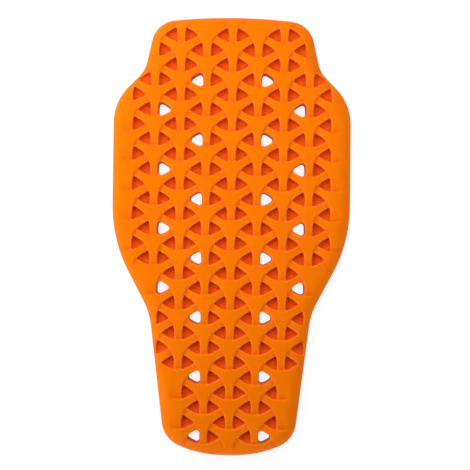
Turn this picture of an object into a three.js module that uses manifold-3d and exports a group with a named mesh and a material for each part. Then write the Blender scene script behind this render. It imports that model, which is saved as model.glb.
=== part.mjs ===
// A back pad that slips into a jacket's back pocket, moulded in one piece of soft elastomer.
// A thin base carries a lattice of three-armed tiles. Each arm dips under the next tile's body,
// triangular pits lie between the arms, and some of the pits go right through as air vents.
// Units are millimetres. The pad lies on its flat back: +Z is the tiled front, +Y the neck end.

import * as THREE from 'three';
import { mergeVertices } from 'three/addons/utils/BufferGeometryUtils.js';
import Module from 'manifold-3d';

// Heights above the flat back.
const thickness = 15;
const pitFloor = 7;
const armDip = 1;

// Lattice of tiles: centres one pitch apart, in columns that alternate by half a pitch.
const pitch = 30;
const columnStep = pitch * Math.cos(Math.PI / 6);
const rowStep = pitch / 2;
const rowCount = 28;
const firstRowY = (rowCount - 1) * rowStep / 2;

// A tile's arms are straight and even, and flare into its body along an arc on each side.
const armHalf = 3.45;
const flareRadius = 22.7;
const flareCentre = (flareRadius + armHalf) / Math.sin(Math.PI / 3);
const flareEnd = flareCentre / 2;

// An arm dips from here on, ends a little short of the next tile, and fades out beside the border.
const dipStart = 14;
const dipShort = 0.6;
const dipFade = 10;

// Pits and vents between the arms, with their corners cut off.
const pitCornerCut = 1.5;
const ventCornerCut = 2.3;

// The cutting wedges run out over a pit by this share of its corner cut, and cutters start above the top.
const wedgeRunOut = 1.15;
const overcut = 1;

// How far from the middle line the pits reach, in thirds of a column, from each row on.
const pitReach = [
  { fromRow: 0, thirds: 8 },
  { fromRow: 3, thirds: 11 },
  { fromRow: 16, thirds: 8 },
  { fromRow: 23, thirds: 5 },
];

// The lines of vents on each side of the middle, one in every fourth row.
const ventLines = [
  { thirds: 4, firstRow: 3, lastRow: 27 },
  { thirds: 8, firstRow: 5, lastRow: 17 },
];
const ventEvery = 4;

// Corners of the right half of the outline, from the foot up, each rounded to its radius.
const outlineCorners = [
  { place: 'foot', x: 27.2, y: -221.8, radius: 110 },
  { place: 'foot corner', x: 66, y: -206.5, radius: 29 },
  { place: 'waist', x: 81.8, y: -78, radius: 71 },
  { place: 'hip', x: 120.5, y: -4.5, radius: 145 },
  { place: 'shoulder', x: 120.1, y: 135.3, radius: 51 },
  { place: 'neck', x: 88.7, y: 167.4, radius: 29.5 },
  { place: 'neck corner', x: 77.9, y: 216.1, radius: 26 },
];
const neckCrown = { y: 224.6, radius: 540 };
const arcSteps = 4;

// The border from the back edge up to the tiles' level.
const borderProfile = [
  { inset: 1, z: 0 },
  { inset: 0, z: 1 },
  { inset: 0, z: 5.5 },
  { inset: 1.6, z: 8.5 },
  { inset: 4.6, z: 11.6 },
  { inset: 9, z: 14.1 },
  { inset: 13.5, z: thickness },
];

const elastomer = new THREE.MeshStandardMaterial({
  name: 'orange_elastomer',
  color: 0xfc7f00,
  roughness: 0.55,
  metalness: 0,
});

const wasm = await Module();
wasm.setup();

// A closed surface through rings of equal length, listed upwards, each anticlockwise from above.
function loft(rings) {
  const size = rings[0].length;
  const vertices = rings.flat().flatMap((point) => [point.x, point.y, point.z]);
  const faces = [];
  for (let band = 0; band < rings.length - 1; band += 1) {
    for (let i = 0; i < size; i += 1) {
      const low = band * size;
      const high = low + size;
      const next = (i + 1) % size;
      faces.push(low + i, low + next, high + next, low + i, high + next, high + i);
    }
  }
  const top = (rings.length - 1) * size;
  for (const [a, b, c] of THREE.ShapeUtils.triangulateShape(rings[0], [])) {
    faces.push(a, c, b);
  }
  for (const [a, b, c] of THREE.ShapeUtils.triangulateShape(rings.at(-1), [])) {
    faces.push(top + a, top + b, top + c);
  }
  const geometry = new THREE.BufferGeometry();
  geometry.setAttribute('position', new THREE.Float32BufferAttribute(vertices, 3));
  geometry.setIndex(faces);
  return geometry;
}

function solidOf(geometry) {
  geometry.deleteAttribute('normal');
  geometry.deleteAttribute('uv');
  const merged = mergeVertices(geometry);
  return new wasm.Manifold(new wasm.Mesh({
    numProp: 3,
    vertProperties: new Float32Array(merged.attributes.position.array),
    triVerts: new Uint32Array(merged.index.array),
  }));
}

function joined(geometries) {
  return geometries.map(solidOf).reduce((all, next) => all.add(next));
}

function geometryOf(solid) {
  const mesh = solid.getMesh();
  const geometry = new THREE.BufferGeometry();
  geometry.setAttribute('position', new THREE.BufferAttribute(mesh.vertProperties, 3));
  geometry.setIndex(new THREE.BufferAttribute(mesh.triVerts, 1));
  geometry.computeVertexNormals();
  return geometry;
}

// One corner of the outline, rounded by an arc that touches both of its sides.
function roundCorner(path, before, corner, after) {
  const back = before.clone().sub(corner.at).normalize();
  const ahead = after.clone().sub(corner.at).normalize();
  const halfAngle = Math.acos(back.dot(ahead)) / 2;
  const middle = back.clone().add(ahead).normalize();
  const centre = corner.at.clone().addScaledVector(middle, corner.radius / Math.sin(halfAngle));
  const touch = corner.radius / Math.tan(halfAngle);
  const start = corner.at.clone().addScaledVector(back, touch).sub(centre);
  const end = corner.at.clone().addScaledVector(ahead, touch).sub(centre);
  const clockwise = back.cross(ahead) > 0;
  path.absarc(centre.x, centre.y, corner.radius, start.angle(), end.angle(), clockwise);
}

function outlinePoints() {
  const right = outlineCorners.map(({ x, y, radius }) => ({ at: new THREE.Vector2(x, y), radius }));
  const left = outlineCorners.map(({ x, y, radius }) => ({ at: new THREE.Vector2(-x, y), radius }));
  const crown = { at: new THREE.Vector2(0, neckCrown.y), radius: neckCrown.radius };
  const corners = [...right, crown, ...left.reverse()];
  const path = new THREE.Path();
  corners.forEach((corner, i) => {
    const before = corners.at(i - 1).at;
    const after = corners[(i + 1) % corners.length].at;
    roundCorner(path, before, corner, after);
  });
  return path.getPoints(arcSteps);
}

// The pad without its pits: the outline carried up the border's profile.
function plainPad() {
  const points = outlinePoints();
  const inwards = points.map((point, i) => {
    const along = points[(i + 1) % points.length].clone().sub(points.at(i - 1)).normalize();
    return new THREE.Vector2(-along.y, along.x);
  });
  const rings = borderProfile.map(({ inset, z }) => points.map((point, i) => {
    const moved = point.clone().addScaledVector(inwards[i], inset);
    return new THREE.Vector3(moved.x, moved.y, z);
  }));
  return loft(rings);
}

// A pit stands a third of a column to each side of a stem: even rows hold the stems of the even
// columns, and odd rows those of the odd columns.
function isPit(row, thirds) {
  if (row < 0 || row >= rowCount) return false;
  const column = Math.round(thirds / 3);
  const besideStem = thirds !== 3 * column && (row + column) % 2 === 0;
  const reach = pitReach.findLast(({ fromRow }) => row >= fromRow).thirds;
  return besideStem && Math.abs(thirds) <= reach;
}

function isVent(row, thirds) {
  return ventLines.some((line) => (
    Math.abs(thirds) === line.thirds
    && row >= line.firstRow
    && row <= line.lastRow
    && (row - line.firstRow) % ventEvery === 0
  ));
}

// Half the width of an arm at a distance from its tile's centre.
function armWidthHalf(distance) {
  const short = Math.max(flareEnd - distance, 0);
  return flareRadius + armHalf - Math.sqrt(flareRadius ** 2 - short ** 2);
}

// How far an arm runs, at a place across it, before it meets the next tile's body.
function armLength(across) {
  return pitch - flareCentre + Math.sqrt(flareRadius ** 2 - across ** 2);
}

// A pit's outline about its own middle: one arm's edge, turned three times by a third.
// A pit on the right of a stem has side 1, one on its left is the mirror image.
function pitOutline(side, vent) {
  const nearReach = pitch - armLength(armHalf);
  const nearCorner = nearReach / 2 + armHalf * Math.sin(Math.PI / 3);
  const farCorner = armLength(armHalf);
  const edge = vent
    ? [nearCorner + ventCornerCut, flareEnd - ventCornerCut, farCorner - ventCornerCut]
    : [nearCorner + pitCornerCut, farCorner - pitCornerCut];
  const centreAcross = pitch / (2 * Math.sqrt(3));
  const middle = new THREE.Vector2();
  const points = [0, 1, 2].flatMap((turn) => edge.map((distance) => {
    const point = new THREE.Vector2(armWidthHalf(distance) - centreAcross, pitch / 2 - distance);
    return point.rotateAround(middle, turn * 2 * Math.PI / 3);
  }));
  return side > 0 ? points : points.map(({ x, y }) => new THREE.Vector2(-x, y)).reverse();
}

// The block that cuts one pit, or one vent if it goes right through.
function pitCutter(row, thirds) {
  const vent = isVent(row, thirds);
  const side = thirds - 3 * Math.round(thirds / 3);
  const floor = vent ? -overcut : pitFloor;
  const block = new THREE.ExtrudeGeometry(new THREE.Shape(pitOutline(side, vent)), {
    depth: thickness + overcut - floor,
    bevelEnabled: false,
  });
  return block.translate(thirds * columnStep / 3, firstRowY - row * rowStep, floor);
}

function pitPlaces() {
  const widest = Math.max(...pitReach.map(({ thirds }) => thirds));
  const places = [];
  for (let row = 0; row < rowCount; row += 1) {
    for (let thirds = -widest; thirds <= widest; thirds += 1) {
      if (isPit(row, thirds)) places.push({ row, thirds });
    }
  }
  return places;
}

// The wedge that makes an arm dip towards its end. Beside a pit it runs out into the pit,
// and on a side with no pit its depth fades to nothing in the border.
function dipCutter(start, angle) {
  const along = new THREE.Vector2(Math.cos(angle), Math.sin(angle));
  const across = new THREE.Vector2(-along.y, along.x);
  const place = (distance, side) => (
    start.clone().addScaledVector(along, distance).addScaledVector(across, side)
  );
  const sections = [];
  let besidePits = 0;
  for (const side of [-1, 1]) {
    const { x, y } = place(pitch / 2, side * pitch / (2 * Math.sqrt(3)));
    const row = Math.round((firstRowY - y) / rowStep);
    const thirds = Math.round(3 * x / columnStep);
    const clear = armHalf + wedgeRunOut * (isVent(row, thirds) ? ventCornerCut : pitCornerCut);
    sections.push({ at: side * clear, end: armLength(armHalf) - dipShort, dip: armDip });
    if (isPit(row, thirds)) besidePits += 1;
    else sections.push({ at: side * dipFade, end: armLength(dipFade), dip: 0 });
  }
  if (besidePits === 0) return null;
  sections.sort((a, b) => a.at - b.at);
  const corner = (distance, side, z) => new THREE.Vector3(...place(distance, side), z);
  const low = [
    corner(dipStart, sections[0].at, thickness),
    ...sections.map(({ at, end, dip }) => corner(end, at, thickness - dip)),
    corner(dipStart, sections.at(-1).at, thickness),
  ];
  const high = low.map(({ x, y }) => new THREE.Vector3(x, y, thickness + overcut));
  return loft([low, high]);
}

// Each tile has one arm down and one up to each side.
function dipCutters() {
  const armAngles = [-Math.PI / 2, Math.PI / 6, 5 * Math.PI / 6];
  const widestColumn = Math.ceil(Math.max(...outlineCorners.map(({ x }) => x)) / columnStep);
  const cutters = [];
  for (let column = -widestColumn; column <= widestColumn; column += 1) {
    const shift = column % 2 === 0 ? rowStep : 0;
    for (let tile = 0; tile <= rowCount / 2; tile += 1) {
      const centre = new THREE.Vector2(column * columnStep, firstRowY + shift - tile * pitch);
      cutters.push(...armAngles.map((angle) => dipCutter(centre, angle)));
    }
  }
  return cutters.filter(Boolean);
}

const pits = joined(pitPlaces().map(({ row, thirds }) => pitCutter(row, thirds)));
const dips = joined(dipCutters());
const padGeometry = geometryOf(solidOf(plainPad()).subtract(pits).subtract(dips));

const pad = new THREE.Mesh(padGeometry, elastomer);
pad.name = 'moulded_pad';

const insert = new THREE.Group();
insert.name = 'back_protector_insert';
insert.add(pad);

export default insert;
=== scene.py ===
import math

import bpy
import numpy as np
from mathutils.geometry import delaunay_2d_cdt
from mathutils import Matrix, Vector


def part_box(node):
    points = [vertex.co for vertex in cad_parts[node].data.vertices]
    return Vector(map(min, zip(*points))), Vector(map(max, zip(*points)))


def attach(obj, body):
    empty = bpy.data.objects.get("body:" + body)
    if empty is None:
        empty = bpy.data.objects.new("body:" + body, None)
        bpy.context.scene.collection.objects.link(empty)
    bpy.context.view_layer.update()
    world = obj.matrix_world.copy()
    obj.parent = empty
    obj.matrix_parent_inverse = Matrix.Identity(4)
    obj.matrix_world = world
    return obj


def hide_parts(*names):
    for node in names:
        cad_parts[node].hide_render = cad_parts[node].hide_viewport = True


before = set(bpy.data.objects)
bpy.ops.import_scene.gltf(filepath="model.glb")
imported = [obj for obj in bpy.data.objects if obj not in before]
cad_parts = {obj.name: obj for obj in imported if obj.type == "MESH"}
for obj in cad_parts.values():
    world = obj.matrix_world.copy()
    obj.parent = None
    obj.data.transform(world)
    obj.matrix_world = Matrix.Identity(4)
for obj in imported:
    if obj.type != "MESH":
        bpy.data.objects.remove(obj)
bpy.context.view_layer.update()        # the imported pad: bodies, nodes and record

lowCorner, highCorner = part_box("moulded_pad")


# lengths in millimetres, heights above the flat back
padSizes = {
    "thickness": 15.0,
    "pitFloor": 7.0,
    "pitch": 30.0,            # from one tile's centre to the next
    "rows": 28,               # rows of pits, half a pitch apart
    "armHalf": 3.45,          # half the width of a tile's straight arms
    "flareRadius": 22.7,      # the arc by which an arm widens into its tile's body
    "armDip": 1.6,            # how far an arm dips before it meets the next tile
    "dipFrom": 5.0,           # distance from the tile's centre where the dip starts
    "dipPower": 1.1,          # the dip steepens towards the step by this power
    "stepWidth": 1.8,         # length of the rounded step up to the next tile
    "dipEnds": (4.9, 5.7),    # beside a pit a dip ends between these distances from the arm's middle
    "dipFade": 11.0,          # beside the border it fades out this far from the arm's middle
    "rimRadius": 1.0,         # rounding of the pits' and vents' rims
    "floorRadius": 0.5,       # rounding at the foot of their walls
    "wallLean": 0.35,         # how far a pit's walls lean in on the way down
    "ventLean": 0.8,          # the same of a vent's walls
    "tipLift": 3.0,           # how far a pit's floor rises into its corners
    "tipRange": (5.0, 9.0),   # distances from the pit's middle where that rise starts and ends
    "innerRing": (0.55, 0.55, 0.3),   # a ring on a pit's floor: shares of the way out and of the rise
    "pitCorner": 1.4,         # corner radius of a pit at the tiles' nominal edge
    "ventCorner": 3.1,        # the same of a vent
    "wallInset": 0.5,         # a pit's walls stand this far inside the nominal edge
    "ventInset": -0.2,        # the same of a vent
    "pitClear": 1.0,          # the least distance between a pit's rim and the pad's edge
}
mm = (highCorner.z - lowCorner.z) / padSizes["thickness"]   # a millimetre in the frame
print("frame loaded, one millimetre is", round(mm, 7))

# the pits' reach from the middle in thirds of a column, and the number of rows with that reach
pitReach = {"thirds": [8, 11, 8, 5], "rows": [3, 13, 7, 5]}

# lines of vents on each side of the middle
ventEvery = 4                 # a vent in every fourth row of its line
ventLines = [
    {"thirds": 4, "firstRow": 3, "lastRow": 27},
    {"thirds": 8, "firstRow": 5, "lastRow": 17},
]

# corners of the right half of the outline from the foot up: across, along, radius of the rounding
outlineCorners = {
    "foot": (27.2, -221.8, 110),
    "footCorner": (66, -206.5, 29),
    "waist": (81.8, -78, 71),
    "hip": (120.5, -4.5, 145),
    "shoulder": (120.1, 135.3, 51),
    "neck": (88.7, 167.4, 29.5),
    "neckCorner": (77.9, 216.1, 26),
}
neckCrown = (0, 224.6, 540)

borderSizes = {
    "edgeHeight": 5.5,        # the upright edge of the border
    "edgeRing": 3.6,          # height of a ring of points on it
    "width": 15.0,            # the rounded border is level from here on
    "inward": 2.2,            # power of its curve on the tiles' side
    "outward": 1.3,           # and on the edge's side
    "dipsRunOut": (5.0, 12.0),    # the arms' dips run out between these distances from the edge
    "footRadius": 1.2,        # rounding of the lower edge
    "stripInset": 2.5,        # the border strip reaches this far in, or half way to a pit that is nearer
    "evenOut": 3,             # its reach is evened out over this many points each way
    "slopeShares": (0.02, 0.09, 0.22, 0.42, 0.68),   # rings of points on it, in shares of its reach
    "spacing": 2.2,           # spacing of points along the outline
}

pitch = padSizes["pitch"]
columnStep = pitch * math.cos(math.pi / 6)
rowStep = pitch / 2
pitAside = pitch / (2 * math.sqrt(3))      # from an arm's middle line to the middles of the pits beside it
firstRow = (padSizes["rows"] - 1) * rowStep / 2
flareCentre = (padSizes["flareRadius"] + padSizes["armHalf"]) / math.sin(math.pi / 3)
flareEnd = flareCentre / 2
third = 2 * math.pi / 3
armAngles = [-math.pi / 2, math.pi / 6, 5 * math.pi / 6]


# vectors scaled to length 1
def unit(vectors):
    return vectors / np.linalg.norm(vectors, axis=-1, keepdims=True)


# cubic ease from 0 at low to 1 at high
def smooth(low, high, values):
    x = np.clip((values - low) / (high - low), 0, 1)
    return x * x * (3 - 2 * x)


blockSize = 3000


# points in blocks of about that many, to save memory
def inBlocks(points):
    return np.array_split(points, max(1, len(points) // blockSize))


# a closed path: each corner becomes an arc that touches its two sides, points evenly spaced along it
def roundedPath(corners, spacing):
    arcShares = np.linspace(0, 1, 65)
    at, radius = corners[:, :2], corners[:, 2:]
    back, ahead = unit(np.roll(at, 1, 0) - at), unit(np.roll(at, -1, 0) - at)
    half = np.arccos((back * ahead).sum(1, keepdims=True)) / 2
    centre = at + unit(back + ahead) * radius / np.sin(half)
    start, end = at + back * radius / np.tan(half) - centre, at + ahead * radius / np.tan(half) - centre
    first, last = np.arctan2(start[:, 1], start[:, 0]), np.arctan2(end[:, 1], end[:, 0])
    sweep = (last - first + math.pi) % (2 * math.pi) - math.pi
    angle = first[:, None] + sweep[:, None] * arcShares
    arcs = centre[:, None] + radius[:, None] * np.stack([np.cos(angle), np.sin(angle)], 2)
    line = arcs.reshape(-1, 2)
    line = np.vstack([line, line[:1]])
    along = np.concatenate([[0], np.cumsum(np.linalg.norm(np.diff(line, axis=0), axis=1))])
    places = np.linspace(0, along[-1], round(along[-1] / spacing), endpoint=False)
    return np.stack([np.interp(places, along, line[:, 0]), np.interp(places, along, line[:, 1])], 1)


rightCorners = np.array(list(outlineCorners.values()), float)
leftCorners = rightCorners[::-1] * (-1, 1, 1)
outline = roundedPath(np.vstack([rightCorners, [neckCrown], leftCorners]), borderSizes["spacing"])
outlineAlong = unit(np.roll(outline, -1, 0) - np.roll(outline, 1, 0))
outlineInward = np.stack([-outlineAlong[:, 1], outlineAlong[:, 0]], 1)
print("outline of", len(outline), "points")


# each point's offset from the nearest place on every segment, given by its start and its run
def awayFrom(points, start, segment):
    offset = points[:, None] - start
    share = np.clip((offset * segment).sum(2) / (segment ** 2).sum(-1), 0, 1)
    return offset - share[..., None] * segment


# how far each point lies inside a closed path, and the direction inwards there: by the nearest segment
def insetOf(points, path):
    segment = np.roll(path, -1, 0) - path
    normals = unit(np.stack([-segment[:, 1], segment[:, 0]], 1))
    inset, inward = [], []
    for block in inBlocks(points):
        away = awayFrom(block, path, segment)
        gap = (away ** 2).sum(2)
        rows, nearest = np.arange(len(block)), gap.argmin(1)
        side = np.sign((away[rows, nearest] * normals[nearest]).sum(1))
        inset.append(side * np.sqrt(gap[rows, nearest]))
        inward.append(normals[nearest])
    return np.concatenate(inset), np.concatenate(inward)


# rows and thirds of every pit: a third of a column beside the stems, which alternate from row to row
sideThirds = 12
allRows, allThirds = np.arange(padSizes["rows"]), np.arange(-sideThirds, sideThirds + 1)
rowGrid, thirdGrid = np.meshgrid(allRows, allThirds, indexing="ij")
stemGrid = np.round(thirdGrid / 3).astype(int)
reachGrid = np.repeat(pitReach["thirds"], pitReach["rows"])[:, None]
pitMask = (thirdGrid != 3 * stemGrid) & ((rowGrid + stemGrid) % 2 == 0) & (abs(thirdGrid) <= reachGrid)
ventMask = np.zeros_like(pitMask)
for line in ventLines:
    inRows = (rowGrid >= line["firstRow"]) & (rowGrid <= line["lastRow"])
    inRows &= (rowGrid - line["firstRow"]) % ventEvery == 0
    ventMask |= pitMask & inRows & (abs(thirdGrid) == line["thirds"])


# whether a pit or vent lies at each place, by the nearest row and third
def hasPit(points):
    row = np.round((firstRow - points[..., 1]) / rowStep).astype(int)
    place = np.round(3 * points[..., 0] / columnStep).astype(int) + sideThirds
    rowCount, placeCount = pitMask.shape
    known = (row >= 0) & (row < rowCount) & (place >= 0) & (place < placeCount)
    return known & pitMask[np.clip(row, 0, rowCount - 1), np.clip(place, 0, placeCount - 1)]


# how far an arm runs at a place across it: up to the next body's arc
def armLength(across):
    return pitch - flareCentre + np.sqrt(padSizes["flareRadius"] ** 2 - across ** 2)


# the arms of one direction: each point's distance along its arm and across it, whether the arm dips,
# as it does where a pit lies beside it, and whether a pit lies on the point's own side
def armPlaces(points, angle):
    along = np.array([math.cos(angle), math.sin(angle)])
    across = np.array([-along[1], along[0]])
    origin = np.array([0, firstRow + rowStep])
    far, wide = (points - origin) @ along, (points - origin) @ across
    line = np.round(wide / columnStep)
    shift = rowStep * (line % 2)
    tile = np.floor((far - shift) / pitch)
    start = origin + (tile * pitch + shift)[:, None] * along + (line * columnStep)[:, None] * across
    middle = start + along * pitch / 2
    far, wide = far - shift - tile * pitch, wide - line * columnStep
    leftPit, rightPit = hasPit(middle + across * pitAside), hasPit(middle - across * pitAside)
    return far, wide, leftPit | rightPit, np.where(wide > 0, leftPit, rightPit)


# depth of an arm's dip: it grows towards the arm's end and a rounded step brings it back to nothing;
# beside a pit it stops in the pit, and beside the border it fades out
def dipOf(points, angle):
    far, wide, dips, pitSide = armPlaces(points, angle)
    start, end, step = padSizes["dipFrom"], armLength(wide), padSizes["stepWidth"] / 2
    grow = np.clip((far - start) / (end - step - start), 0, 1) ** padSizes["dipPower"]
    back = smooth(end - step, end + step, far)
    besidePit = 1 - smooth(*padSizes["dipEnds"], abs(wide))
    besideBorder = 1 - smooth(padSizes["armHalf"], padSizes["dipFade"], abs(wide))
    return dips * padSizes["armDip"] * grow * (1 - back) * np.where(pitSide, besidePit, besideBorder)


# the border's height: rounded up from the edge to the tiles' level, by distance from the outline
def borderHeight(inset):
    x = np.clip(inset / borderSizes["width"], 0, 1)
    curve = (1 - (1 - x) ** borderSizes["inward"]) ** (1 / borderSizes["outward"])
    return borderSizes["edgeHeight"] + (padSizes["thickness"] - borderSizes["edgeHeight"]) * curve


# height of the front: the rounded border and the tiles, less the arms' dips, which run out on the border
def frontHeight(points):
    inset = insetOf(points, outline)[0]
    dips = sum(dipOf(points, angle) for angle in armAngles)
    return borderHeight(inset) - dips * smooth(*borderSizes["dipsRunOut"], inset)


pathCounts = {"arc": 4, "straight": 5, "fan": 4}   # points in a third of a pit's path


# a pit's path about its middle, for a pit on the right of a stem: points and outward directions.
# One arm's edge (arc, then straight) and a fan of directions at its far corner, turned three times.
# The path is drawn in by the corner radius, so that a ring at that offset has round corners.
def pitPath(corner):
    radius, half = padSizes["flareRadius"] - corner, padSizes["armHalf"] + corner
    reach = pitch - flareCentre + math.sqrt(radius ** 2 - half ** 2)
    near = (pitch - reach) / 2 + half * math.sin(math.pi / 3)
    arc = np.linspace(near, flareEnd, pathCounts["arc"], endpoint=False)
    far = np.concatenate([arc, np.linspace(flareEnd, reach, pathCounts["straight"])])
    short = np.maximum(flareEnd - far, 0)
    wide = radius + half - np.sqrt(radius ** 2 - short ** 2)
    lean = np.arcsin(short / radius)
    fan = (third - lean[0]) * np.linspace(0, 1, pathCounts["fan"] + 2)[1:-1]
    turn = np.concatenate([-lean, fan])
    far, wide = (np.concatenate([run, np.repeat(run[-1], len(fan))]) for run in (far, wide))
    edge = np.stack([wide - pitAside, pitch / 2 - far], 1)
    out = np.stack([-np.cos(turn), -np.sin(turn)], 1)
    turns = np.arange(3) * third
    spin = np.array([[np.cos(turns), np.sin(turns)], [-np.sin(turns), np.cos(turns)]]).transpose(2, 0, 1)
    return np.concatenate(edge @ spin), np.concatenate(out @ spin)


# the paths of all the pits or vents in place, their outward directions and their rims' outer lines;
# a pit on a stem's left is the mirror image. Where a rim would come too near the pad's edge, it is pushed in.
def placedPaths(mask, corner, wallInset):
    row, thirds, stem = rowGrid[mask], thirdGrid[mask], stemGrid[mask]
    middle = np.stack([thirds * columnStep / 3, firstRow - row * rowStep], 1)
    path, out = pitPath(corner)
    right = (thirds > 3 * stem)[:, None, None]
    flip = np.array([-1, 1])
    paths = middle[:, None] + np.where(right, path, path[::-1] * flip)
    outs = np.where(right, out, out[::-1] * flip)
    inset, inward = insetOf(paths.reshape(-1, 2), outline)
    rimOffset = corner - wallInset + padSizes["rimRadius"]
    push = np.maximum(padSizes["pitClear"] + rimOffset - inset, 0)[:, None] * inward
    paths = paths + push.reshape(paths.shape)
    return paths + (corner - wallInset) * outs, outs, paths + rimOffset * outs


pitPaths, pitOuts, pitRims = placedPaths(pitMask & ~ventMask, padSizes["pitCorner"], padSizes["wallInset"])
ventPaths, ventOuts, ventRims = placedPaths(ventMask, padSizes["ventCorner"], padSizes["ventInset"])
print("pits", len(pitPaths), "vents", len(ventPaths), "points round each", pitPaths.shape[1])


# the front's points: counts, lengths in millimetres, and least distances in shares of the spacing
frontGrid = {
    "tileColumns": 5,         # columns of tiles on each side of the middle
    "tileRows": 16,           # tiles along a column
    "columnPoints": 16,       # points across a column
    "pitchPoints": 18,        # points along a pitch
    "stepRows": (-2.0, -0.9, -0.3, 0.3, 0.9, 1.5),   # rows of points along each step, past its middle
    "stepHalf": 10.5,         # half the length of those rows
    "stepPoints": 22,         # points in each
    "stepReach": 5.2,         # beside a pit the rows end this far from the arm's middle
    "clearRange": (-2.8, 2.1),    # the grid keeps clear of a step by these distances past its middle
    "clearReach": 5.5,        # and beside a pit this far from the arm's middle
    "spacing": 1.67,          # about the grid's own
    "edgeGap": 0.6,          # from the border strip
    "rimGap": 0.42,           # from the rims
}


# points of the front between the rims: a grid in step with the tiles, and rows of points along each step
def frontPoints(outer, rims):
    side, fine, tall = frontGrid["tileColumns"], frontGrid["columnPoints"], frontGrid["pitchPoints"]
    columns = np.arange(-side * fine, side * fine + 1)
    rows = firstRow + rowStep - np.arange(frontGrid["tileRows"] * tall) * pitch / tall
    gridX, gridY = np.meshgrid(columns * columnStep / fine, rows)
    gridY = gridY - (columns % 2) * pitch / (2 * tall)
    grid = np.stack([gridX.ravel(), gridY.ravel()], 1)
    tiles = np.meshgrid(np.arange(-side, side + 1), np.arange(-1, frontGrid["tileRows"]))
    tileColumn, tileRow = tiles[0].ravel(), tiles[1].ravel()
    tileY = firstRow + rowStep * (1 - tileColumn % 2) - tileRow * pitch
    centres = np.stack([tileColumn * columnStep, tileY], 1)
    wideRow = np.linspace(-frontGrid["stepHalf"], frontGrid["stepHalf"], frontGrid["stepPoints"])
    across, past = np.meshgrid(wideRow, frontGrid["stepRows"])
    across, past = across.ravel(), past.ravel()
    steps = []
    for angle in armAngles:
        along = np.array([math.cos(angle), math.sin(angle)])
        aside = np.array([-along[1], along[0]])
        local = (armLength(across) + past)[:, None] * along + across[:, None] * aside
        stepRows = (centres[:, None] + local).reshape(-1, 2)
        wide, dips, pitSide = armPlaces(stepRows, angle)[1:]
        reach = np.where(pitSide, frontGrid["stepReach"], padSizes["dipFade"])
        steps.append(stepRows[dips & (abs(wide) < reach)])
        far, wide, dips, pitSide = armPlaces(grid, angle)
        reach = np.where(pitSide, frontGrid["clearReach"], padSizes["dipFade"])
        gridPast = far - armLength(wide)
        nearStep = (gridPast > frontGrid["clearRange"][0]) & (gridPast < frontGrid["clearRange"][1])
        grid = grid[~(dips & nearStep & (abs(wide) < reach))]
    points = np.concatenate([*steps, grid])
    points = points[insetOf(points, outer)[0] > frontGrid["edgeGap"] * frontGrid["spacing"]]

    # points inside the nearest rim go, by the number of its segments to one side, and points close to it
    middles = rims.mean(1)
    nearest = [((block[:, None] - middles) ** 2).sum(2).argmin(1) for block in inBlocks(points)]
    start = rims[np.concatenate(nearest)]
    segment = np.roll(start, -1, 1) - start
    gap = np.linalg.norm(awayFrom(points, start, segment), axis=2).min(1)
    offset = points[:, None] - start
    spans = (offset[..., 1] < 0) != (offset[..., 1] < segment[..., 1])
    leftOf = offset[..., 0] * segment[..., 1] < offset[..., 1] * segment[..., 0]
    crossings = (spans & (leftOf == (segment[..., 1] > 0))).sum(1)
    return points[(crossings % 2 == 0) & (gap > frontGrid["rimGap"] * frontGrid["spacing"])]


# fills a plane region: triangles between an outer ring, inner rings and loose points
def filled(outer, inner, loose):
    mergeWithin, sliver = 1e-6, 0.001
    counts = [len(outer)] + [len(ring) for ring in inner]
    points = np.concatenate([outer, *inner, loose])
    ringOf = np.concatenate([np.repeat(np.arange(len(counts)), counts), -np.ones(len(loose), int)])
    begin = np.concatenate([[0], np.cumsum(counts)])
    following = np.arange(begin[-1]) + 1
    following[begin[1:] - 1] = begin[:-1]
    edges = np.stack([np.arange(begin[-1]), following], 1)
    made = delaunay_2d_cdt(points.tolist(), edges.tolist(), [], 0, mergeWithin, False)
    if len(made[0]) != len(points):
        raise RuntimeError(f"the fill changed {len(points)} points to {len(made[0])}")
    faces = np.array(made[2])

    # triangles between points of one ring go: inside an inner ring, outside the outer one, or a sliver on it
    rings = ringOf[faces]
    whole = (rings == rings[:, :1]).all(1) & (rings[:, 0] >= 0)
    drop = whole & (rings[:, 0] > 0)
    atEdge = np.flatnonzero(whole & (rings[:, 0] == 0))
    drop[atEdge] = insetOf(points[faces[atEdge]].mean(1), outer)[0] < sliver
    faces = faces[~drop]
    a, b, c = points[faces].transpose(1, 0, 2)
    turned = (b[:, 0] - a[:, 0]) * (c[:, 1] - a[:, 1]) < (b[:, 1] - a[:, 1]) * (c[:, 0] - a[:, 0])
    faces[turned] = faces[turned][:, ::-1]
    return points, faces


# quads between rows of closed rings: indices of shape (rows, rings, points round), facing out for
# rings that run anticlockwise and rows that go up
def stripFaces(rows):
    low, high = rows[:-1], rows[1:]
    quads = np.stack([low, np.roll(low, -1, -1), np.roll(high, -1, -1), high], -1)
    return quads.reshape(-1, 4)


# angles in degrees of the walls' rings on their roundings, and the least drop from ring to ring
wallAngles = {"rim": (30, 60, 90), "floor": (0, 35, 90), "back": (0, 45, 90)}
leastDrop = 0.1


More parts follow.
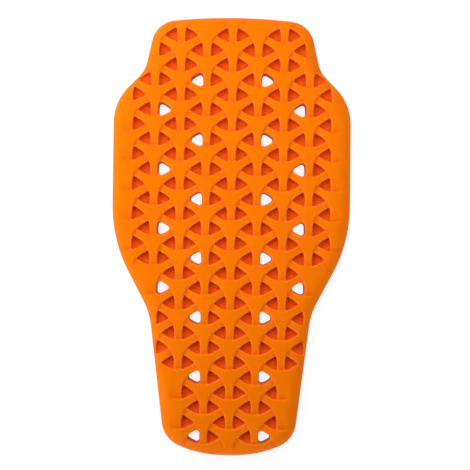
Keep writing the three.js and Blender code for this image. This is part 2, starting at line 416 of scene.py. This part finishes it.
# the rings of a pit's or vent's wall from the rim's outer line down: the wall's path moved out, and a height;
# a pit's floor rises into its corners
def wallRings(paths, outs, rimHeight, lowEnd):
    rim, foot = padSizes["rimRadius"], padSizes["floorRadius"]
    turn, curve = np.radians(wallAngles["rim"]), np.radians(wallAngles[lowEnd])
    offsets = rim * (1 - np.sin(turn))
    heights = rimHeight - rim * (1 - np.cos(turn))[:, None, None]
    low = foot * (1 - np.sin(curve))[:, None, None]
    if lowEnd == "floor":
        lowOffsets = -padSizes["wallLean"] - foot * (1 - np.cos(curve))
        far = np.linalg.norm(paths - paths.mean(1, keepdims=True), axis=2)
        low = padSizes["pitFloor"] + padSizes["tipLift"] * smooth(*padSizes["tipRange"], far) + low
    else:
        lowOffsets = -padSizes["ventLean"] + foot * (1 - np.cos(curve))
    low = np.minimum(low, heights[-1] - leastDrop * np.arange(1, len(curve) + 1)[:, None, None])
    offsets, heights = np.concatenate([offsets, lowOffsets]), np.concatenate([heights, low])
    flat = paths + offsets[:, None, None, None] * outs
    return np.concatenate([flat, heights[..., None]], -1)


# marks for the material: a painted highlight on the rims, and painted shade, 1 for the pits' colour and 2 for
# the vents'
padMarks = {
    "rimHighlight": [0.7, 1.0, 0.8, 0.3, 0.0, 0.0, 0.0],   # painted highlight, from the rim's outer line down the wall's rings
    "paintedShade": [0.0, 0.25, 0.8, 1.0, 1.0, 1.0],       # painted shade down the wall's rings
    "ventShade": [0.0, 0.4, 1.2, 2.0, 1.0, 0.0],       # painted shade likewise, out to the plain back
    "creaseShade": 0.55,       # painted shade along the foot of each step
    "creaseWidth": 1.6,       # of the bell curve across it
    "creaseEnd": 5.5,         # beside a pit it fades out this far from the arm's middle
}
# a pit's floor takes the full painted shade; plain stretches take none
pitFloorShade, plainMark = np.array([0, 1]), np.array([0, 0])


# painted shade along the foot of each step: a bell curve across it, on the arms that dip
def creaseShadeOf(points, angle):
    far, wide, dips, pitSide = armPlaces(points, angle)
    past = far - armLength(wide) + padSizes["stepWidth"]
    fadeEnd = np.where(pitSide, padMarks["creaseEnd"], padSizes["dipFade"])
    fade = 1 - smooth(padSizes["armHalf"], fadeEnd, abs(wide))
    return dips * np.exp(-(past / padMarks["creaseWidth"]) ** 2) * fade


shellPoints, shellFaces, shellMarks = [], [], []     # the pad's surface, an entry for each stretch of it


# adds points to the pad with their marks, and gives their numbers
def addPoints(places, mark):
    first = sum(len(group) for group in shellPoints)
    shellPoints.append(places.reshape(-1, 3))
    shellMarks.append(np.broadcast_to(mark, (*places.shape[:-1], 2)).reshape(-1, 2))
    return first + np.arange(places[..., 0].size).reshape(places.shape[:-1])


# front: a filled plane region raised to the front's height; it comes first, so its numbers hold as they are
def addFront(outer, rims):
    flat, triangles = filled(outer, list(rims), frontPoints(outer, rims))
    front = np.concatenate([flat, frontHeight(flat)[:, None]], 1)
    rimIndex = len(outer) + np.arange(rims[..., 0].size).reshape(rims.shape[:2])
    mark = np.zeros((len(front), 2))
    # the rims get the painted highlight, and the creases the painted shade
    mark[rimIndex, 0] = padMarks["rimHighlight"][0]
    mark[:, 1] = sum(creaseShadeOf(flat, angle) for angle in armAngles) * padMarks["creaseShade"]
    index = addPoints(front, mark)
    shellFaces.append(triangles)
    print("front of", len(front), "points and", len(triangles), "triangles")
    return index[:len(outer)], rimIndex, front[rimIndex, 2]


# pits: the wall's rings, an inner ring on the floor and a middle point
def addPits(rimIndex, rimHeight):
    walls = wallRings(pitPaths, pitOuts, rimHeight, "floor")
    middle = walls[-1].mean(1, keepdims=True)
    middle[..., 2] = padSizes["pitFloor"]
    inner = middle + np.array(padSizes["innerRing"]) * (walls[-1] - middle)
    # pits: painted highlight near the rim, painted shade down the wall and over the floor
    ringMarks = np.vstack([np.stack([padMarks["rimHighlight"][1:], padMarks["paintedShade"]], 1), pitFloorShade])
    index = addPoints(np.concatenate([walls, inner[None]]), ringMarks[:, None, None])
    middleIndex = addPoints(middle, pitFloorShade)
    shellFaces.append(stripFaces(np.concatenate([rimIndex[None], index])))
    last = index[-1]
    fan = np.stack([last, np.roll(last, -1, 1), np.broadcast_to(middleIndex, last.shape)], -1)
    shellFaces.append(fan.reshape(-1, 3))


# vents: the wall's rings run down to the back
def addVents(rimIndex, rimHeight):
    walls = wallRings(ventPaths, ventOuts, rimHeight, "back")
    # vents: painted highlight near the rim, painted shade down the wall
    ringMarks = np.stack([padMarks["rimHighlight"][1:], padMarks["ventShade"]], 1)
    index = addPoints(walls, ringMarks[:, None, None])
    shellFaces.append(stripFaces(np.concatenate([rimIndex[None], index])))
    return walls[-1, ..., :2], index[-1]


# border strip: a profile carried along the outline, from the back up the edge and the slope to the front
def addBorder(outerIndex, reach):
    foot, turn = borderSizes["footRadius"], np.radians([0, 30, 60, 90])
    edgeInset = np.append(foot * (1 - np.sin(turn)), 0)
    edgeHeight = np.append(foot * (1 - np.cos(turn)), borderSizes["edgeRing"])
    slopeInset = np.outer(borderSizes["slopeShares"], reach)
    allRound = np.ones(len(outline))
    inset = np.concatenate([np.outer(edgeInset, allRound), slopeInset])
    height = np.concatenate([np.outer(edgeHeight, allRound), borderHeight(slopeInset)])
    rings = np.concatenate([outline + inset[..., None] * outlineInward, height[..., None]], -1)
    index = addPoints(rings, plainMark)
    shellFaces.append(stripFaces(np.concatenate([index, outerIndex[None]])[:, None]))
    return rings[0, :, :2], index[0]


# the back's loose points: their reach, their spacing and least distances, in millimetres
backGrid = {"halfWidth": 120, "halfLength": 220, "spacing": 9.0, "edgeGap": 6, "ventGap": 12}


# back: a flat filled region with the vents' mouths in it, and a square grid of loose points
def addBack(edge, edgeIndex, mouths, mouthIndex):
    across, along = (np.arange(-backGrid[name], backGrid[name] + 1, backGrid["spacing"])
                     for name in ("halfWidth", "halfLength"))
    spots = np.stack(np.meshgrid(across, along), 2).reshape(-1, 2)
    spots = spots[insetOf(spots, outline)[0] > backGrid["edgeGap"]]
    gap = np.linalg.norm(spots[:, None] - mouths.mean(1), axis=2).min(1)
    spots = spots[gap > backGrid["ventGap"]]
    triangles = filled(edge, list(mouths), spots)[1]
    spotIndex = addPoints(np.concatenate([spots, np.zeros((len(spots), 1))], 1), plainMark)
    index = np.concatenate([edgeIndex, mouthIndex.ravel(), spotIndex])
    shellFaces.append(index[triangles][:, ::-1])


# how far the border strip reaches in: half way to the nearest rim at most, evened out along the outline
def stripReach(rims):
    gap = np.sqrt(((outline[:, None] - rims.reshape(-1, 2)) ** 2).sum(2)).min(1)
    reach = np.minimum(borderSizes["stripInset"], gap / 2)
    shifts = range(-borderSizes["evenOut"], borderSizes["evenOut"] + 1)
    reach = np.min([np.roll(reach, shift) for shift in shifts], 0)
    return np.mean([np.roll(reach, shift) for shift in shifts], 0)


# the whole pad as one closed mesh, its stretches sharing the rings where they meet
def buildPad():
    rims, pitCount = np.concatenate([pitRims, ventRims]), len(pitRims)
    reach = stripReach(rims)
    outerIndex, rimIndex, rimHeight = addFront(outline + reach[:, None] * outlineInward, rims)
    addPits(rimIndex[:pitCount], rimHeight[:pitCount])
    mouths, mouthIndex = addVents(rimIndex[pitCount:], rimHeight[pitCount:])
    edge, edgeIndex = addBorder(outerIndex, reach)
    addBack(edge, edgeIndex, mouths, mouthIndex)
    places = np.concatenate(shellPoints) * mm
    mesh = bpy.data.meshes.new("padShell")
    mesh.from_pydata(places.tolist(), [], [face for group in shellFaces for face in group.tolist()])
    mesh.validate()
    mesh.update()
    mesh.shade_smooth()
    # the painted rim highlight and the painted shade, carried as point attributes
    for name, values in zip(("paintedRimHighlight", "paintedShade"), np.concatenate(shellMarks).T):
        mesh.attributes.new(name, "FLOAT", "POINT").data.foreach_set("value", values.astype(np.float32))
    pad = bpy.data.objects.new("mouldedPadShell", mesh)
    bpy.context.scene.collection.objects.link(pad)
    edges = [np.stack([group, np.roll(group, -1, 1)], 2).reshape(-1, 2) for group in shellFaces]
    uses = np.unique(np.sort(np.concatenate(edges), 1), axis=0, return_counts=True)[1]
    triangles = sum((group.shape[1] - 2) * len(group) for group in shellFaces)
    print("pad of", len(places), "points and", triangles, "triangles")
    print("edges not shared by two faces:", int((uses != 2).sum()))
    return pad


# linear colours, texture sizes in millimetres, and the stretches of the noises' values that are used
elastomerLook = {
    "colour": (0.945, 0.194, 0.0012),
    "shade": (0.935, 0.18, 0.001),        # the batch's slight unevenness runs between these two
    "rimHighlightColour": (0.98, 0.2, 0.018),     # painted highlight on the rims' rounded edges
    "pitShadeColour": (0.84, 0.118, 0.008),    # painted shade: the pits' deeper red
    "ventShadeColour": (0.6, 0.08, 0.002),     # painted shade on the vents' walls, darker still
    "cloud": (45.0, 2),                   # size and detail of the noise
    "mottle": (3.0, 3),
    "grain": (0.7, 2),
    "cloudRange": (0.3, 0.7),
    "mottleRange": (0.3, 0.7),
    "highlightRange": (0.35, 0.65),
    "highlightStrength": (0.6, 1.0),                   # strength of the painted rim highlight, from the least to the most
    "grainDepth": 0.03,
    "grainStrength": 0.5,
    "roughness": (0.46, 0.6),
    "specular": 0.08,
    "specularTint": (1.0, 0.4, 0.05),
}


# puts a number, a colour or another node's output on a socket
def feed(tree, socket, value):
    if isinstance(value, bpy.types.NodeSocket):
        tree.links.new(value, socket)
    else:
        socket.default_value = (*value, 1) if isinstance(value, tuple) else value


# a value carried from the range low to high over to the range start to end, and held there
def spread(tree, value, low, high, start, end):
    remap = tree.nodes.new("ShaderNodeMapRange")
    inputs = {"Value": value, "From Min": low, "From Max": high, "To Min": start, "To Max": end}
    for name, given in inputs.items():
        feed(tree, remap.inputs[name], given)
    return remap.outputs["Result"]


# two colours mixed by a share
def mixed(tree, share, first, second):
    mix = tree.nodes.new("ShaderNodeMix")
    mix.data_type = "RGBA"
    for name, given in {"Factor": share, "A": first, "B": second}.items():
        feed(tree, mix.inputs[name], given)
    return mix.outputs["Result"]


# satin elastomer: two close colours clouded together, with painted shade deeper in the pits, vents and
# creases, with a painted highlight on the rims, a fine moulded grain and uneven gloss
def elastomer():
    look = elastomerLook
    material = bpy.data.materials.new("orangeElastomer")
    material.use_nodes = True
    tree = material.node_tree
    shader = tree.nodes["Principled BSDF"]
    place = tree.nodes.new("ShaderNodeTexCoord")

    # a mark that the pad's points carry
    def mark(name):
        attribute = tree.nodes.new("ShaderNodeAttribute")
        attribute.attribute_name = name
        return attribute.outputs["Fac"]

    # noise of a size in millimetres, fixed to the pad
    def noise(size, detail):
        texture = tree.nodes.new("ShaderNodeTexNoise")
        feed(tree, texture.inputs["Scale"], 1 / (size * mm))
        feed(tree, texture.inputs["Detail"], detail)
        feed(tree, texture.inputs["Vector"], place.outputs["Object"])
        return texture.outputs["Fac"]

    # two values multiplied
    def times(first, second):
        product = tree.nodes.new("ShaderNodeMath")
        product.operation = "MULTIPLY"
        feed(tree, product.inputs[0], first)
        feed(tree, product.inputs[1], second)
        return product.outputs[0]

    cloud, mottle, grain = (noise(*look[name]) for name in ("cloud", "mottle", "grain"))
    # painted highlight: the rims' colour is lightened, unevenly by the mottle
    highlit = times(mark("paintedRimHighlight"), spread(tree, mottle, *look["highlightRange"], *look["highlightStrength"]))
    body = mixed(tree, spread(tree, cloud, *look["cloudRange"], 0, 1), look["colour"], look["shade"])
    # painted shade: deeper red in the pits and along the creases, darker still on the vents' walls
    body = mixed(tree, spread(tree, mark("paintedShade"), 0, 1, 0, 1), body, look["pitShadeColour"])
    body = mixed(tree, spread(tree, mark("paintedShade"), 1, 2, 0, 1), body, look["ventShadeColour"])
    feed(tree, shader.inputs["Base Color"], mixed(tree, highlit, body, look["rimHighlightColour"]))
    feed(tree, shader.inputs["Roughness"], spread(tree, mottle, *look["mottleRange"], *look["roughness"]))
    bump = tree.nodes.new("ShaderNodeBump")
    feed(tree, bump.inputs["Strength"], look["grainStrength"])
    feed(tree, bump.inputs["Distance"], look["grainDepth"] * mm)
    feed(tree, bump.inputs["Height"], grain)
    feed(tree, shader.inputs["Normal"], bump.outputs["Normal"])
    feed(tree, shader.inputs["Specular IOR Level"], look["specular"])
    feed(tree, shader.inputs["Specular Tint"], look["specularTint"])
    return material


pad = buildPad()
pad.data.materials.append(elastomer())
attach(pad, "root")
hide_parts("moulded_pad")


# metres; the camera sees a floor and sky that are almost white, and the pad gets a weaker light from them
studio = {
    "floorSize": 9.0,
    "floorColour": (0.6, 0.6, 0.6),
    "floorRoughness": 0.9,
    "floorGlow": 0.45,
    "seenColour": (0.18, 0.18, 0.18),
    "seenGlow": 0.86,          # keeps the floor white in the picture, and lights nothing else
    "worldGlow": 0.02,
    "skyGlow": 1.0,            # what the camera sees beyond the floor
    "whiteAway": (0.4, 0.8),   # the seen floor turns plain white between these distances from its middle
    "cameraHeight": 1.09,      # above the tiles
    "frameWidth": 0.4724,      # what the frame spans at the tiles
    "cameraPlace": (0.0041, 0.0014),
    "cameraTurn": 0.64,        # degrees
    "sensorWidth": 36,         # millimetres
}
white = (1, 1, 1)

# broad soft lights close overhead and weaker ones around the pad: place, width, height, power
lamps = {
    "overheadLight": ((-0.02, 0.32, 0.6), 1.2, 1.0, 5.1),
    "overheadLeftLight": ((-0.5, 0.32, 0.6), 0.8, 0.8, 3.25),
    "leftLight": ((-0.9, 0.0, 0.25), 1.2, 0.35, 3.6),
    "rightLight": ((0.9, 0.0, 0.4), 0.8, 0.6, 1.9),
    "footLight": ((-0.1, -1.5, 0.22), 1.6, 0.4, 11.5),
}


# pale matt floor, a square about the pad; where the camera sees it, it turns plain white away from the pad
def makeFloor():
    corners = np.array([[-1, -1, 0], [1, -1, 0], [1, 1, 0], [-1, 1, 0]]) * studio["floorSize"] / 2
    mesh = bpy.data.meshes.new("studioFloor")
    mesh.from_pydata(corners.tolist(), [], [[0, 1, 2, 3]])
    floor = bpy.data.objects.new("studioFloor", mesh)
    bpy.context.scene.collection.objects.link(floor)
    material = bpy.data.materials.new("paleFloor")
    material.use_nodes = True
    tree = material.node_tree
    shader = tree.nodes["Principled BSDF"]
    seen = tree.nodes.new("ShaderNodeLightPath").outputs["Is Camera Ray"]
    away = tree.nodes.new("ShaderNodeVectorMath")
    away.operation = "LENGTH"
    feed(tree, away.inputs[0], tree.nodes.new("ShaderNodeTexCoord").outputs["Object"])
    far = spread(tree, away.outputs["Value"], *studio["whiteAway"], 0, 1)
    seenGlow = spread(tree, far, 0, 1, studio["seenGlow"], studio["skyGlow"])
    seenColour = mixed(tree, far, studio["seenColour"], (0, 0, 0))
    feed(tree, shader.inputs["Base Color"], mixed(tree, seen, studio["floorColour"], seenColour))
    feed(tree, shader.inputs["Roughness"], studio["floorRoughness"])
    feed(tree, shader.inputs["Specular IOR Level"], 0)
    feed(tree, shader.inputs["Emission Color"], white)
    feed(tree, shader.inputs["Emission Strength"], spread(tree, seen, 0, 1, studio["floorGlow"], seenGlow))
    mesh.materials.append(material)


# a weak even sky that the camera sees as white, and the lamps turned to the pad
def makeLights():
    world = bpy.data.worlds.new("studioWorld")
    world.use_nodes = True
    tree = world.node_tree
    sky = tree.nodes["Background"]
    seen = tree.nodes.new("ShaderNodeLightPath").outputs["Is Camera Ray"]
    feed(tree, sky.inputs["Color"], white)
    feed(tree, sky.inputs["Strength"], spread(tree, seen, 0, 1, studio["worldGlow"], studio["skyGlow"]))
    bpy.context.scene.world = world
    for name, (place, width, height, power) in lamps.items():
        lamp = bpy.data.lights.new(name, "AREA")
        lamp.shape = "RECTANGLE"
        lamp.size, lamp.size_y, lamp.energy = width, height, power
        light = bpy.data.objects.new(name, lamp)
        light.location = place
        light.visible_camera = False
        light.rotation_euler = (-light.location).to_track_quat("-Z", "Y").to_euler()
        bpy.context.scene.collection.objects.link(light)


# straight above the pad, with a lens that spans the frame's width at the tiles
def makeCamera():
    lens = bpy.data.cameras.new("photoCamera")
    lens.sensor_width = studio["sensorWidth"]
    lens.lens = lens.sensor_width * studio["cameraHeight"] / studio["frameWidth"]
    camera = bpy.data.objects.new("photoCamera", lens)
    camera.location = (*studio["cameraPlace"], highCorner.z + studio["cameraHeight"])
    camera.rotation_euler = (0, 0, math.radians(studio["cameraTurn"]))
    bpy.context.scene.collection.objects.link(camera)
    bpy.context.scene.camera = camera
    bpy.context.scene.view_settings.view_transform = "Standard"


makeFloor()
makeLights()
makeCamera()
print("stage, lights and camera ready")
